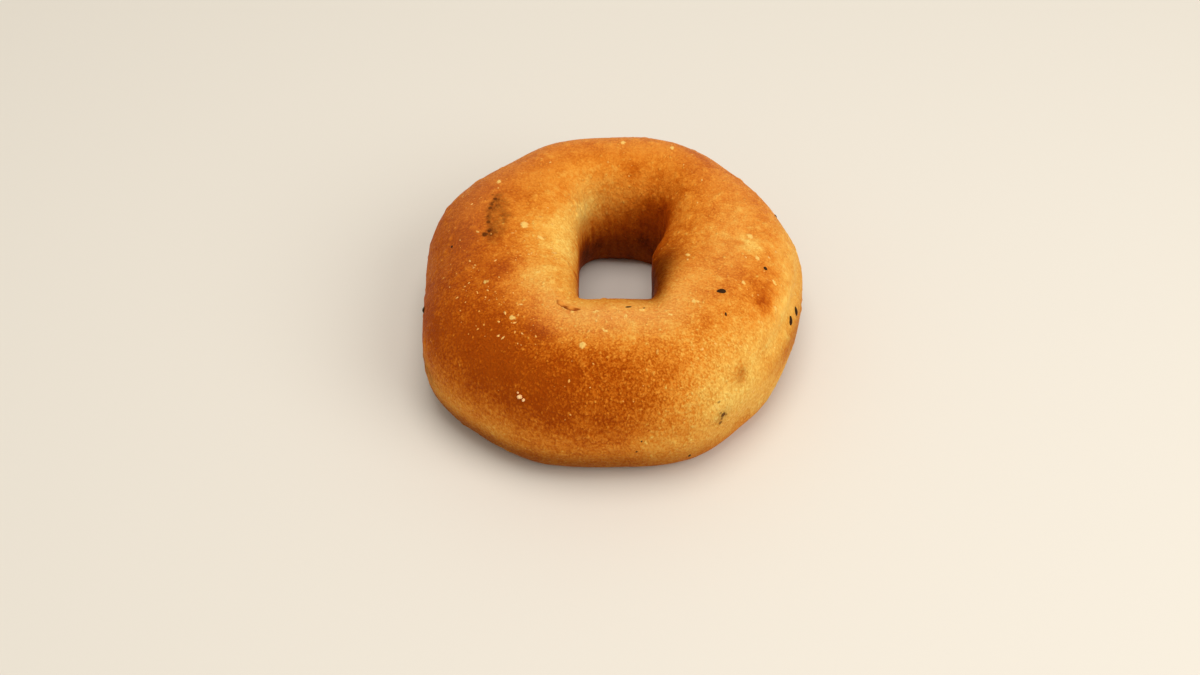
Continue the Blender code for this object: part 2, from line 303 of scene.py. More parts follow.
# Patches together. Each row has a bearing, a place, two spreads and an amount.
def patchSum(rows, bearing, place):
    total = np.zeros(np.shape(bearing))
    for *where, amount in rows:
        total += amount * patch(bearing, place, *where)
    return total


def smoothStep(low, high, value):
    share = np.clip((value - low) / (high - low), 0.0, 1.0)
    return share * share * (3.0 - 2.0 * share)


# 0, rising to 1 from start to full, and back to 0 from fading to end
def plateau(value, start, full, fading, end):
    return smoothStep(start, full, value) * (1.0 - smoothStep(fading, end, value))


def noiseAt(points, size, shift):
    return np.array([noise.noise(Vector(point)) for point in points / size + shift])


# How creased the crust is: most on the flanks of the hole and on the right side
def creasing(bearing, place):
    return np.clip(patchSum(relief["creased"], bearing, place) + relief["creasedElsewhere"], 0.0, 1.0)


# How far a point lies on the wall of the hole, past the wandering line where the wall begins
def wallShare(bearing, place, points):
    start = roundTheRing(relief["wallStart"], bearing)
    drawn = points * relief["wallDrawn"]
    left = smoothStep(*relief["wallLeft"], -np.cos(bearing))
    wander, wanderSize = relief["wallWander"]
    ragged, raggedLeft, raggedSize = relief["wallRagged"]
    soft, crisper = relief["wallSoft"]
    uneven = wander * noiseAt(drawn, wanderSize, shifts["wallWander"])
    uneven += (ragged + raggedLeft * left) * noiseAt(drawn, raggedSize, shifts["wallRagged"])
    soft = soft - crisper * left
    return smoothStep(-soft, soft, place + uneven - start) * (1.0 - smoothStep(*relief["wallEnd"], place))


# How deep in shade the crust is: on the right flank of the hole, at the bottom of its wall, at the
# foot and on the lip low on the right
def shadeShare(bearing, place):
    ending = 1.0 - smoothStep(*relief["shadeEnd"], place)
    flankBearing, flankWide, flankStart, flankFull, flankAmount = relief["shadedFlank"]
    flank = flankAmount * patch(bearing, 0.0, flankBearing, 0.0, flankWide, 1.0)
    flank = flank * smoothStep(flankStart, flankFull, place) * ending
    deepStart, deepFull, deepAmount = relief["deepWall"]
    deep = deepAmount * smoothStep(deepStart, deepFull, place) * ending
    below = -loopGap(place, 0.0, 1.0)
    footStart, footFull, footAmount = relief["foot"]
    foot = footAmount * plateau(below, footStart, footFull, *relief["footEnd"])
    goldenBearing, goldenWide, goldenShare = relief["goldenFoot"]
    foot = foot * (1.0 - goldenShare * patch(bearing, 0.0, goldenBearing, 0.0, goldenWide, 1.0))
    lip = patchSum((relief["lipShade"],), bearing, place)
    return np.maximum(np.maximum(flank, deep), np.maximum(foot, lip))


# Unevenness that has no place of its own: swells of the dough, fine creases, and pleats at the
# rim of the hole
def roughness(bearing, section, points):
    rise = np.zeros(len(points))
    for index, (size, height) in enumerate(relief["swells"]):
        rise += height * noiseAt(points, size, shifts["swells"] * (index + 1))
    place = placeOf(section)
    fromCrease = np.abs(noiseAt(points, relief["creaseSize"], shifts["creases"]))
    furrow = np.clip(1.0 - fromCrease / relief["creaseWidth"], 0.0, 1.0)
    rise -= relief["creaseDepth"] * furrow * creasing(bearing, place)
    mask = plateau(np.degrees(bearing) % 360.0, *relief["pleatBearings"])
    mask *= plateau(place, *relief["pleatPlaces"])
    arc = bearing * relief["pleatRadius"] / relief["pleatSpacing"]
    wander, wanderSize = relief["pleatWander"]
    arc = arc + wander * noiseAt(points, wanderSize, shifts["pleatWander"])
    pleatSpots = np.stack((arc, place * relief["pleatStretch"], np.zeros_like(arc)), axis=-1)
    pleats = np.abs(noiseAt(pleatSpots, 1.0, shifts["pleats"]))
    high, sunk = relief["pleatRise"]
    return rise + mask * relief["pleatDepth"] * (high * pleats - sunk)


# Height of a blister at a distance in radii from its middle, with a slack edge round it
def dome(distance):
    share = np.clip(distance, 0.0, relief["domeReach"])
    depth, middle, width = relief["slackEdge"]
    slack = depth * np.exp(-((share - middle) / width) ** 2)
    return np.clip(1.0 - share ** 2, 0.0, 1.0) ** relief["domeFullness"] - slack


# Where the small blisters and pits lie: bearing, section, turn, half length, half width, height
def scatterBlisters():
    draw = random.Random(relief["blisterSeed"])
    smallest, largest = relief["blisterRadius"]
    onSide, onTop = relief["blisterSections"]
    rows = []
    for index in range(relief["blisterCount"]):
        bearing = draw.uniform(0.0, 2.0 * math.pi)
        section = draw.choice((draw.uniform(*onSide), draw.uniform(*onTop)))
        radius = smallest + (largest - smallest) * draw.random() ** relief["blisterRarity"]
        height = relief["blisterHeight"] * radius * draw.uniform(*relief["blisterVariety"])
        turn = draw.uniform(0.0, math.pi)
        long = radius * draw.uniform(*relief["blisterStretch"])
        rows.append((bearing, section, turn, long, radius, height))
    for index in range(relief["pitCount"]):
        radius = draw.uniform(*relief["pitRadius"])
        bearing, section = draw.uniform(0.0, 2.0 * math.pi), draw.uniform(*relief["pitSections"])
        rows.append((bearing, section, 0.0, radius, radius, -relief["pitDepth"]))
    return rows


smallBlisters = np.array(scatterBlisters())
paleBlisters = np.array([
    (math.radians(bearing), sectionOf(place), math.radians(turn), *size)
    for bearing, place, turn, *size in relief["paleBlisters"]
])


# Rise of a set of blisters over points of the plain ring, and the strongest dome there
def blisterRise(points, rows):
    middles = plainRing(rows[:, 0], rows[:, 1])
    alongs, ups, outs = directions(rows[:, 0], rows[:, 1])
    rise = np.zeros(len(points))
    cover = np.zeros(len(points))
    order = np.argsort(points[:, 0])
    acrossX = points[order, 0]
    for middle, along, up, out, row in zip(middles, alongs, ups, outs, rows):
        turn, long, wide, height = row[2:]
        reach = relief["domeReach"] * long
        first, last = np.searchsorted(acrossX, (middle[0] - reach, middle[0] + reach))
        near = order[first:last]
        near = near[np.linalg.norm(points[near] - middle, axis=1) < reach]
        if len(near) == 0:
            continue
        offset = points[near] - middle
        lengthwise = offset @ (along * math.cos(turn) + up * math.sin(turn)) / long
        crosswise = offset @ (up * math.cos(turn) - along * math.sin(turn)) / wide
        here = dome(np.sqrt(lengthwise ** 2 + crosswise ** 2 + (offset @ out / wide) ** 2))
        rise[near] += height * here
        cover[near] = np.maximum(cover[near], np.clip(here, 0.0, 1.0))
    return rise, cover


# Finished crust in millimetres, with how much of each point is blister
def crustSurface(bearing, section):
    points = plainRing(bearing, section)
    place = placeOf(section)
    onBase = (section % 5.0 >= 3.0) & (section % 5.0 <= 4.0)
    small, smallCover = blisterRise(points, smallBlisters)
    pale, paleCover = blisterRise(points, paleBlisters)
    rise = patchSum(ring["lumps"], bearing, place) + roughness(bearing, section, points) + small + pale
    nearBase = smoothStep(0.0, relief["nearBase"], points[:, 2])
    least = relief["baseRelief"]
    rise = np.where(onBase, -least * np.abs(rise), rise * (least + (1.0 - least) * nearBase))
    finished = points + directions(bearing, section)[2] * rise[:, None]
    finished[:, 2] = np.maximum(finished[:, 2], 0.0)
    return finished, {"small": smallCover, "pale": paleCover}


# Frame in metres on the crust, X along the ring turned by an angle and Z outwards
def crustFrame(bearingDegrees, place, turnDegrees, sink):
    bearing = math.radians(bearingDegrees)
    section = sectionOf(place)
    bearings, sections = np.array((bearing, bearing + ring["frameStep"])), np.array((section, section))
    here, ahead = (Vector(point) for point in crustSurface(bearings, sections)[0])
    out = Vector(directions(np.array([bearing]), np.array([section]))[2][0])
    along = (ahead - here).normalized()
    along = (along - out * along.dot(out)).normalized()
    along = Matrix.Rotation(math.radians(turnDegrees), 3, out) @ along
    turned = Matrix((along, out.cross(along), out)).transposed().to_4x4()
    return Matrix.Scale(mm, 4) @ Matrix.Translation(here - out * sink) @ turned


# Shader maths: a socket whose arithmetic adds the nodes for it
class Shade:
    def __init__(self, tree, socket=None):
        self.tree = tree
        self.socket = socket

    # Any node: its settings are set first, then the values or links of its sockets
    def node(self, kind, settings=None, inputs=None, output=0):
        made = self.tree.nodes.new(kind)
        for key, value in (settings or {}).items():
            if key == "stops":
                while len(made.color_ramp.elements) < len(value):
                    made.color_ramp.elements.new(0.5)
                for element, (position, colour) in zip(made.color_ramp.elements, value):
                    element.position = position
                    element.color = (*colour, 1.0)
            else:
                setattr(made, key, value)
        for key, value in (inputs or {}).items():
            if isinstance(value, Shade):
                self.tree.links.new(value.socket, made.inputs[key])
            else:
                made.inputs[key].default_value = value
        return Shade(self.tree, made.outputs[output])

    def math(self, operation, first, second, clamp=False):
        settings = {"operation": operation, "use_clamp": clamp}
        return self.node("ShaderNodeMath", settings, {0: first, 1: second})

    def __add__(self, other):
        return self.math("ADD", self, other)

    def __radd__(self, other):
        return self.math("ADD", other, self)

    def __sub__(self, other):
        return self.math("SUBTRACT", self, other)

    def __rsub__(self, other):
        return self.math("SUBTRACT", other, self)

    def __mul__(self, other):
        return self.math("MULTIPLY", self, other)

    def __rmul__(self, other):
        return self.math("MULTIPLY", other, self)

    # 0 below low, 1 above high, smooth between
    def between(self, low, high):
        settings = {"interpolation_type": "SMOOTHSTEP"}
        return self.node("ShaderNodeMapRange", settings, {"Value": self, "From Min": low, "From Max": high})

    def clamped(self):
        return self.math("ADD", self, 0.0, clamp=True)

    def atMost(self, other):
        return self.math("MINIMUM", self, other)

    def atLeast(self, other):
        return self.math("MAXIMUM", self, other)

    # Blend of two colours, this value being the share of the second
    def mix(self, first, second, blend="MIX"):
        settings = {"data_type": "RGBA", "blend_type": blend, "clamp_result": True}
        return self.node("ShaderNodeMix", settings, {0: self, 6: first, 7: second}, output=2)


def newMaterial(name):
    material = bpy.data.materials.new(name)
    material.use_nodes = True
    tree = material.node_tree
    return material, Shade(tree), tree.nodes["Principled BSDF"]


def objectSpots(shade):
    return shade.node("ShaderNodeTexCoord", None, None, output="Object")


def attributeOf(shade, name):
    return shade.node("ShaderNodeAttribute", {"attribute_name": name}, None, output="Fac")


def noiseField(shade, coordinates, size, detail=2.0, rough=0.5):
    inputs = {"Vector": coordinates, "Scale": 1.0 / (size * mm), "Detail": detail, "Roughness": rough}
    return shade.node("ShaderNodeTexNoise", None, inputs)


# Coordinates drawn out along Z and shaken, so that cells on them are uneven
def shakenField(shade, coordinates, drawnOut, size, reach):
    inputs = {0: coordinates, 1: (1.0, 1.0, 1.0 / drawnOut)}
    drawn = shade.node("ShaderNodeVectorMath", {"operation": "MULTIPLY"}, inputs)
    inputs = {"Vector": coordinates, "Scale": 1.0 / (size * mm)}
    shake = shade.node("ShaderNodeTexNoise", None, inputs, output="Color")
    inputs = {0: shake, 1: (reach * mm, reach * mm, reach * mm), 2: drawn}
    return shade.node("ShaderNodeVectorMath", {"operation": "MULTIPLY_ADD"}, inputs)


# Distance from the middles of random cells, and a random number for each cell
def cellFields(shade, coordinates, size):
    inputs = {"Vector": coordinates, "Scale": 1.0 / (size * mm), "Randomness": 1.0}
    distance = shade.node("ShaderNodeTexVoronoi", {"feature": "F1"}, inputs, output="Distance")
    colour = Shade(shade.tree, distance.socket.node.outputs["Color"])
    number = shade.node("ShaderNodeSeparateColor", None, {"Color": colour}, output="Red")
    return distance, number


# Shine of a finish: level and tint. The seeds, flecks and curl share a faint warm one.
plainShine = (0.5, (1.0, 1.0, 1.0))
toastedShine = (0.05, (1.0, 0.78, 0.50))


# Colour, roughness, relief and shine of a finish. The bump has a strength and a depth in millimetres.
def setFinish(shade, shader, colour, roughness, height, bump, shine):
    strength, depth = bump
    inputs = {"Strength": strength, "Distance": depth * mm, "Height": height}
    normal = shade.node("ShaderNodeBump", None, inputs)
    shade.tree.links.new(colour.socket, shader.inputs["Base Color"])
    shade.tree.links.new(normal.socket, shader.inputs["Normal"])
    if isinstance(roughness, Shade):
        shade.tree.links.new(roughness.socket, shader.inputs["Roughness"])
    else:
        shader.inputs["Roughness"].default_value = roughness
    level, tint = shine
    shader.inputs["Specular IOR Level"].default_value = level
    shader.inputs["Specular Tint"].default_value = (*tint, 1.0)


crustLook = {
    # colours of the crust from pale dough to char
    "stops": (
        (0.00, (0.92, 0.605, 0.145)),
        (0.15, (0.86, 0.482, 0.095)),
        (0.30, (0.80, 0.370, 0.058)),
        (0.45, (0.75, 0.268, 0.029)),
        (0.58, (0.66, 0.192, 0.015)),
        (0.70, (0.54, 0.126, 0.006)),
        (0.82, (0.44, 0.084, 0.003)),
        (0.92, (0.34, 0.054, 0.002)),
        (1.00, (0.210, 0.036, 0.004)),
    ),
    "pale": (0.92, 0.62, 0.17),
    "char": (0.085, 0.020, 0.003),
    "mottleAndGapShade": (0.80, 0.64, 0.42),      # tint of painted shade in the gaps between the grains, also laid on random mottled patches
    "shaded": (0.33, 0.31, 0.26),   # tint of the crust in shade
    "bloom": (0.86, 0.40, 0.17),    # colour of the thin bloom of flour on the tops, with the painted sheen there
    # fields of noise: size in millimetres, detail and roughness
    "fields": {
        "mottle": (5.0, 3.0, 0.6),
        "blotch": (11.0, 4.0, 0.6),
        "fleck": (1.4, 3.0, 0.6),
        "uneven": (0.60, 3.0, 0.7),
        "streak": (1.5, 2.0, 0.6),
    },
    # shaken coordinates: how far drawn out along Z, size and reach of the shake in millimetres
    "shakes": {
        "grain": (1.5, 0.9, 0.55),
        "streak": (6.0, 4.0, 1.2),
        "crease": (1.0, 2.0, 2.0),
        "charSpot": (1.0, 0.8, 0.5),
    },
    "cells": {"bubble": 0.75, "glintSpeck": 1.6, "crease": 2.6},     # sizes in millimetres
    # from where to where a field rises
    "edges": {
        "blotch": (0.44, 0.60),
        "uneven": (0.34, 0.68),
        "bubble": (0.10, 0.60),
        "glintSpeck": (0.10, 0.30),
        "glintSpeckNumber": (0.62, 0.78),    # only some of the cells hold a painted glint speck
        "pale": (0.12, 0.60),
        "charSpot": (0.5, 1.1),         # in radii of the spot
    },
    # a grain, painted lighter on its tops and darker in its gaps: level between top and gap, share that
    # the flattest grain keeps, and how much the bubbles and the noise add to it
    "grain": {"middle": 0.42, "flattest": 0.2, "bubble": 0.6, "uneven": 0.6},
    # how much each field changes the level of the colour, in places more where the crust is grainy:
    # browning, and for the grain, the glint specks and the creases painted light and shade
    "bakeBy": {
        "mottle": 0.16,
        "blotch": 0.08,
        "fleck": 0.10,
        "grainyFleck": 0.34,
        "grain": 0.43,
        "glintSpeck": 0.08,
        "grainyGlintSpeck": 0.26,
        "crease": 0.22,
        "creaseMiddle": 0.45,
        "streak": 0.34,
    },
    "darkest": 0.88,                    # level that the crust outside the hole reaches
    "mottleAndGapShadeBy": {"mottle": 1.3, "grain": 0.5, "grainy": 1.0},
    "paleBy": {"fleck": 2.0, "uneven": 0.5, "most": 0.8},
    "charBy": {"mottle": 1.2, "fleck": 2.6, "uneven": 0.5},
    "heightBy": {"grain": 0.4, "grainy": 0.8, "fleck": 0.4, "glintSpeck": 0.6, "crease": 0.5},
    "roughness": 0.55,
    "roughBy": {"fleck": 0.25, "bubble": 0.10, "char": 0.2},
    "bump": (0.9, 0.3),
    "shine": (0.03, (1.0, 0.62, 0.14)),
}


def makeCrustMaterial():
    material, shade, shader = newMaterial("bakedCrust")
    spots = objectSpots(shade)
    names = ("bake", "pale", "char", "grain", "creased", "wall", "shaded", "bloom")
    readings = [attributeOf(shade, name) for name in names]
    bake, pale, char, grainy, creased, wall, shaded, bloom = readings
    fields, shakes, cells, edges = (crustLook[key] for key in ("fields", "shakes", "cells", "edges"))
    shaken = shakenField(shade, spots, *shakes["grain"])
    drawn = shakenField(shade, spots, *shakes["streak"])
    mottle = noiseField(shade, spots, *fields["mottle"]) - 0.5
    blotch = noiseField(shade, spots, *fields["blotch"]).between(*edges["blotch"]) - 0.5
    fleck = noiseField(shade, spots, *fields["fleck"]) - 0.5
    uneven = noiseField(shade, shaken, *fields["uneven"]).between(*edges["uneven"]) - 0.5
    streak = noiseField(shade, drawn, *fields["streak"]) - 0.5
    bubble, bubbleNumber = cellFields(shade, shaken, cells["bubble"])
    bubbleTop = 1.0 - bubble.between(*edges["bubble"])
    glintSpeck, glintSpeckNumber = cellFields(shade, shaken, cells["glintSpeck"])
    glintSpeckTop = (1.0 - glintSpeck.between(*edges["glintSpeck"])) * glintSpeckNumber.between(*edges["glintSpeckNumber"])
    crease = cellFields(shade, shakenField(shade, spots, *shakes["crease"]), cells["crease"])[0]

    by = crustLook["grain"]
    standing = by["flattest"] + (1.0 - by["flattest"]) * bubbleNumber
    grain = (bubbleTop - by["middle"]) * standing * by["bubble"] + uneven * by["uneven"]

    by = crustLook["bakeBy"]
    level = bake + mottle * by["mottle"] + blotch * by["blotch"]
    # The grain's tops are painted lighter and its gaps darker: painted light and shade on its relief
    level = level + fleck * (by["fleck"] + by["grainyFleck"] * grainy) - grain * (grainy * by["grain"])
    # Small specks painted lighter: painted glints on the small blisters
    level = level - glintSpeckTop * (by["glintSpeck"] + by["grainyGlintSpeck"] * grainy)
    # Darker towards the edges of the crease cells, where the bump sinks: painted shade in the creases
    level = level + (crease - by["creaseMiddle"]) * creased * by["crease"] + streak * wall * by["streak"]
    level = level.atMost(wall * (1.0 - crustLook["darkest"]) + crustLook["darkest"])
    colour = shade.node("ShaderNodeValToRGB", {"stops": crustLook["stops"]}, {"Fac": level.clamped()})

    # Painted shade: a darker tint in the gaps between the grains, and in random mottled patches
    by = crustLook["mottleAndGapShadeBy"]
    mottleAndGapShade = (mottle * by["mottle"] - grain * (by["grain"] + by["grainy"] * grainy)).clamped()
    colour = mottleAndGapShade.mix(colour, (*crustLook["mottleAndGapShade"], 1.0), blend="MULTIPLY")
    colour = shaded.mix(colour, (*crustLook["shaded"], 1.0), blend="MULTIPLY")
    # Flour on the tops, together with a painted sheen
    colour = bloom.mix(colour, (*crustLook["bloom"], 1.0))

    by = crustLook["paleBy"]
    pale = (pale + pale * (fleck * by["fleck"] + uneven * by["uneven"])).between(*edges["pale"]) * by["most"]
    colour = pale.mix(colour, (*crustLook["pale"], 1.0))

    by = crustLook["charBy"]
    charred = char + char * (mottle * by["mottle"] + fleck * by["fleck"] + uneven * by["uneven"])
    charred = charred.clamped()
    ragged = shakenField(shade, spots, *shakes["charSpot"])
    shift = 0.5 * shakes["charSpot"][2] * mm * Vector((1.0, 1.0, 1.0))
    inner, outer = edges["charSpot"]
    for bearing, place, radius, amount in charSpots:
        inputs = {0: ragged, 1: crustFrame(bearing, place, 0.0, 0.0).translation + shift}
        away = shade.node("ShaderNodeVectorMath", {"operation": "DISTANCE"}, inputs, output="Value")
        charred = charred.atLeast((1.0 - away.between(inner * radius * mm, outer * radius * mm)) * amount)
    colour = charred.mix(colour, (*crustLook["char"], 1.0))

    by = crustLook["heightBy"]
    height = grain * (by["grain"] + by["grainy"] * grainy) + fleck * by["fleck"]
    height = height + glintSpeckTop * by["glintSpeck"] - crease * creased * by["crease"]
    by = crustLook["roughBy"]
    rough = crustLook["roughness"] + fleck * by["fleck"] - bubbleTop * by["bubble"] + char * by["char"]
    setFinish(shade, shader, colour, rough, height, crustLook["bump"], crustLook["shine"])
    return material


# Browning of the crust, with painted shade in the hole and on the lip and painted light low on the
# far wall. Each patch has a bearing, a place, a spread in degrees, a spread round the section and
# how much darker (or lighter, below 0) the crust is there.
browning = {
    "level": 0.56,                  # of the crust away from every patch
    "base": 0.62,                   # level of the base, and between which sections it holds
    "baseSections": (2.8, 3.2, 3.8, 4.2),
    "wall": (0.72, 0.84),           # level of the hole's wall at its left and over the rest, partly browning and partly painted shade
    "wallRest": (-0.6, 0.2),        # between which cosines the rest sets in
    "wallHold": 0.92,               # how closely the wall keeps to its level
    "deep": 0.92,                   # darker level at the bottom of the wall, partly browning and partly painted shade deep in the hole, and where it sets in
    "deepPlaces": (0.46, 0.54),
    "uneven": (0.06, 14.0),         # how much the level wanders, and over what size
    "onBlisters": 0.12,             # how much lighter a small blister is
    "grain": 0.40,                  # how grainy the crust is, and where it is more or less so
    "grainPatches": (
        (275.0, 0.12, 36.0, 0.10, 0.45),
        (215.0, 0.18, 30.0, 0.07, 0.15),
        (90.0, 0.28, 40.0, 0.12, -0.15),
        (340.0, 0.09, 20.0, 0.05, -0.22),
    ),
    "smoothWall": 0.6,              # share of the grain that the wall lacks
    "patches": (
        (195.0, 0.090, 34.0, 0.110, 0.24),    # brown left side
        (165.0, 0.185, 34.0, 0.035, 0.08),    # brown upper left
        (188.0, 0.250, 14.0, 0.026, 0.08),    # browner crest on the left
        (226.0, 0.145, 15.0, 0.062, 0.18),    # deepest brown at the front left
        (240.0, 0.245, 10.0, 0.014, 0.08),    # brown streak along the front left crest
        (264.0, 0.115, 26.0, 0.055, 0.24),    # brown front
        (262.0, 0.040, 20.0, 0.035, 0.08),    # browner low front
        (322.0, 0.946, 24.0, 0.044, -0.30),   # golden foot at the front right
        (298.0, 0.120, 12.0, 0.050, -0.08),   # lighter front right
        (280.0, 0.997, 6.5, 0.032, -0.12),    # golden patch low on the front
        (275.0, 0.290, 38.0, 0.060, -0.23),   # lighter crest of the front
        (226.0, 0.290, 12.0, 0.035, -0.18),   # golden corner of the rim at the front left
        (216.0, 0.990, 22.0, 0.042, -0.29),   # golden foot at the front left
        (190.0, 0.390, 34.0, 0.065, -0.44),   # golden left flank of the hole
        (121.0, 0.450, 13.0, 0.028, -0.46),   # golden left part of the far wall, lighter also as painted light where the lamp reaches it
        (128.0, 0.345, 7.0, 0.022, 0.12),     # browner left end of the far rim
        (330.0, 0.085, 26.0, 0.070, -0.39),   # pale right and front right
        (304.0, 0.055, 10.0, 0.042, -0.28),   # palest front right
        (343.0, 0.010, 13.0, 0.026, 0.20),    # orange lip under the pale right, darker also as painted shade under the crease
        (8.0, 0.070, 12.0, 0.060, -0.25),     # pale right edge
        (5.0, 0.230, 15.0, 0.038, -0.18),     # paler crest on the right
        (0.5, 0.213, 4.0, 0.015, -0.22),      # pale pucker
        (4.6, 0.214, 1.6, 0.007, 0.24),       # its folds
        (359.0, 0.237, 1.7, 0.008, 0.20),
        (150.0, 0.400, 14.0, 0.050, -0.16),   # golden far end of that flank
        (334.0, 0.147, 3.5, 0.014, 0.24),     # blotch on the right
        (337.0, 0.160, 9.0, 0.035, 0.22),     # brown round the blotch
        (205.0, 0.252, 5.0, 0.018, 0.28),     # blotch on the left
        (242.0, 0.222, 5.0, 0.016, 0.26),     # blotch on the front left
        (56.0, 0.205, 6.0, 0.018, 0.20),      # blotch on the far edge
        (81.0, 0.339, 4.0, 0.025, 0.16),      # blotch behind the hole
        (112.0, 0.370, 12.0, 0.050, -0.16),   # golden far arm
        (335.0, 0.375, 30.0, 0.040, 0.18),    # browner right flank of the hole
        (310.8, 0.077, 2.0, 0.016, 0.34),     # smudge on the pale front right
    ),
    # the same for the bloom of flour and the painted sheen on the tops
    "bloom": (
        (268.0, 0.282, 34.0, 0.028, 0.19),     # crest of the front
        (88.0, 0.165, 42.0, 0.050, 0.26),      # far edge
        (165.0, 0.200, 20.0, 0.035, 0.04),     # upper left
        (355.0, 0.245, 26.0, 0.030, 0.07),     # crest on the right
    ),
}

# Char in a loop on the upper left
charLoop = {
    "middle": (169.0, 0.243),
    "half": (12.5, 0.0118),         # half length in degrees, half width round the section
    "line": 0.34,                   # width of its line, as a share of the loop
    "dark": (0.98, 0.52, 0.30),     # how dark its outer line, its inner line and its middle are
    "wander": (0.30, 2.2),          # how far the line wanders, and over what size
    "broken": (-0.22, 0.16, 1.7),   # heights of noise that the line sets in between, and its size
    "faintest": 0.35,               # share of the line that is left where it is broken
    "inside": (0.6, 1.1),           # from where to where the middle ends
}

# Smudges of char: bearing, place, spreads and amount
charring = (
    (164.0, 0.231, 1.4, 0.005, 0.40),
    (166.5, 0.257, 1.6, 0.005, 0.40),
    (206.0, 0.990, 5.0, 0.016, 0.60),
    (302.9, 0.014, 1.9, 0.011, 0.36),
    (310.8, 0.077, 1.6, 0.013, 0.25),
)

# Small spots of char with crisp edges: bearing, place, radius in millimetres, amount
charSpots = (
    (156.8, 0.236, 0.80, 0.88),
    (160.5, 0.2340, 0.60, 0.80),
    (162.8, 0.2325, 0.70, 0.85),
    (171.2, 0.2325, 0.80, 0.82),
    (168.0, 0.236, 0.40, 0.45),
    (174.0, 0.236, 0.45, 0.50),
    (178.8, 0.227, 1.05, 0.90),
    (177.0, 0.233, 0.50, 0.60),
    (154.2, 0.226, 0.45, 0.45),
    (303.0, 0.0152, 1.05, 0.92),
    (302.6, 0.0077, 0.55, 0.80),
    (302.2, 0.0000, 0.75, 0.75),
    (301.95, 0.023, 0.55, 0.60),
    (304.2, 0.0105, 0.60, 0.65),
    (301.5, 0.050, 0.50, 0.50),
    (310.4, 0.085, 0.60, 0.22),
    (311.0, 0.072, 0.80, 0.28),
)


def charAt(bearing, place, points):
    char = np.zeros(len(points))
    for *where, amount in charring:
        char = np.maximum(char, amount * patch(bearing, place, *where))
    middleBearing, middlePlace = charLoop["middle"]
    long, wide = charLoop["half"]
    side = (place - middlePlace) / wide
    reach = np.hypot(loopGap(np.degrees(bearing), middleBearing, 360.0) / long, side)
    wander, size = charLoop["wander"]
    reach += wander * noiseAt(points, size, shifts["charLoop"])
    outer, inner, middle = charLoop["dark"]
    line = np.exp(-((reach - 1.0) / charLoop["line"]) ** 2) * np.where(side < 0.0, outer, inner)
    low, high, size = charLoop["broken"]
    faintest = charLoop["faintest"]
    line *= faintest + (1.0 - faintest) * smoothStep(low, high, noiseAt(points, size, shifts["charLine"]))
    inside = 1.0 - smoothStep(*charLoop["inside"], reach)
    return np.clip(np.maximum(char, line) + middle * inside, 0.0, 1.0)


# What the finish of the crust reads at each point
def browningAt(bearing, section, points, covers):
    place = placeOf(section)
    wall = wallShare(bearing, place, points)
    leftWall, otherWall = browning["wall"]
    # The hole's wall is darker, most at its bottom: partly browning, partly painted shade of the hole
    wallLevel = leftWall + (otherWall - leftWall) * smoothStep(*browning["wallRest"], np.cos(bearing))
    wallLevel += (browning["deep"] - wallLevel) * smoothStep(*browning["deepPlaces"], place)
    bake = browning["level"] + patchSum(browning["patches"], bearing, place)
    bake += (wallLevel - bake) * browning["wallHold"] * wall
    bake += (browning["base"] - bake) * plateau(section % 5.0, *browning["baseSections"])
    wander, size = browning["uneven"]
    bake += wander * noiseAt(points, size, shifts["browning"])
    bake -= browning["onBlisters"] * covers["small"]
    grain = browning["grain"] + patchSum(browning["grainPatches"], bearing, place)
    return {
        "bake": np.clip(bake, 0.0, 1.0),
        "char": charAt(bearing, place, points),
        "pale": covers["pale"],
        "grain": grain * (1.0 - browning["smoothWall"] * wall),
        "creased": creasing(bearing, place),
        "wall": wall,
        "shaded": shadeShare(bearing, place),
        "bloom": patchSum(browning["bloom"], bearing, place),
    }


# The crust: a circle stood up and spun about Z, then set on the crust's surface
def makeCrust():
    bm = bmesh.new()
    steps = ring["sectionSteps"]
    sections = np.concatenate([part + np.arange(count) / count for part, count in enumerate(steps)])
    bmesh.ops.create_circle(bm, segments=len(sections), radius=ring["startRadius"] * mm)
    bmesh.ops.rotate(bm, verts=bm.verts, cent=(0, 0, 0), matrix=Matrix.Rotation(0.5 * math.pi, 3, "X"))
    bmesh.ops.translate(bm, verts=bm.verts, vec=Vector(ring["startMiddle"]) * mm)
    layer = bm.verts.layers.float.new("section")
    for vert, section in zip(bm.verts, sections):
        vert[layer] = section
    bmesh.ops.spin(
        bm,
        geom=bm.verts[:] + bm.edges[:],
        cent=(0.0, 0.0, 0.0),
        axis=(0.0, 0.0, 1.0),
        angle=2.0 * math.pi,
        steps=ring["bearingSteps"],
        use_merge=True,
    )
    bearing = np.array([math.atan2(vert.co.y, vert.co.x) for vert in bm.verts])
    section = np.array([vert[layer] for vert in bm.verts])
    points, covers = crustSurface(bearing, section)
    for vert, point in zip(bm.verts, points * mm):
        vert.co = point
    bm.verts.layers.float.remove(layer)
    bmesh.ops.recalc_face_normals(bm, faces=bm.faces)
    mesh = bpy.data.meshes.new("crust")
    bm.to_mesh(mesh)
    bm.free()
    for name, values in browningAt(bearing, section, points, covers).items():
        mesh.attributes.new(name, "FLOAT", "POINT").data.foreach_set("value", values.astype(np.float32))
    mesh.shade_smooth()
    crust = bpy.data.objects.new("crust", mesh)
    bpy.context.scene.collection.objects.link(crust)
    mesh.materials.append(makeCrustMaterial())
    return crust


crust = makeCrust()
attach(crust, "root")
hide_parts("bagel")
print("crust", len(crust.data.vertices), "points")

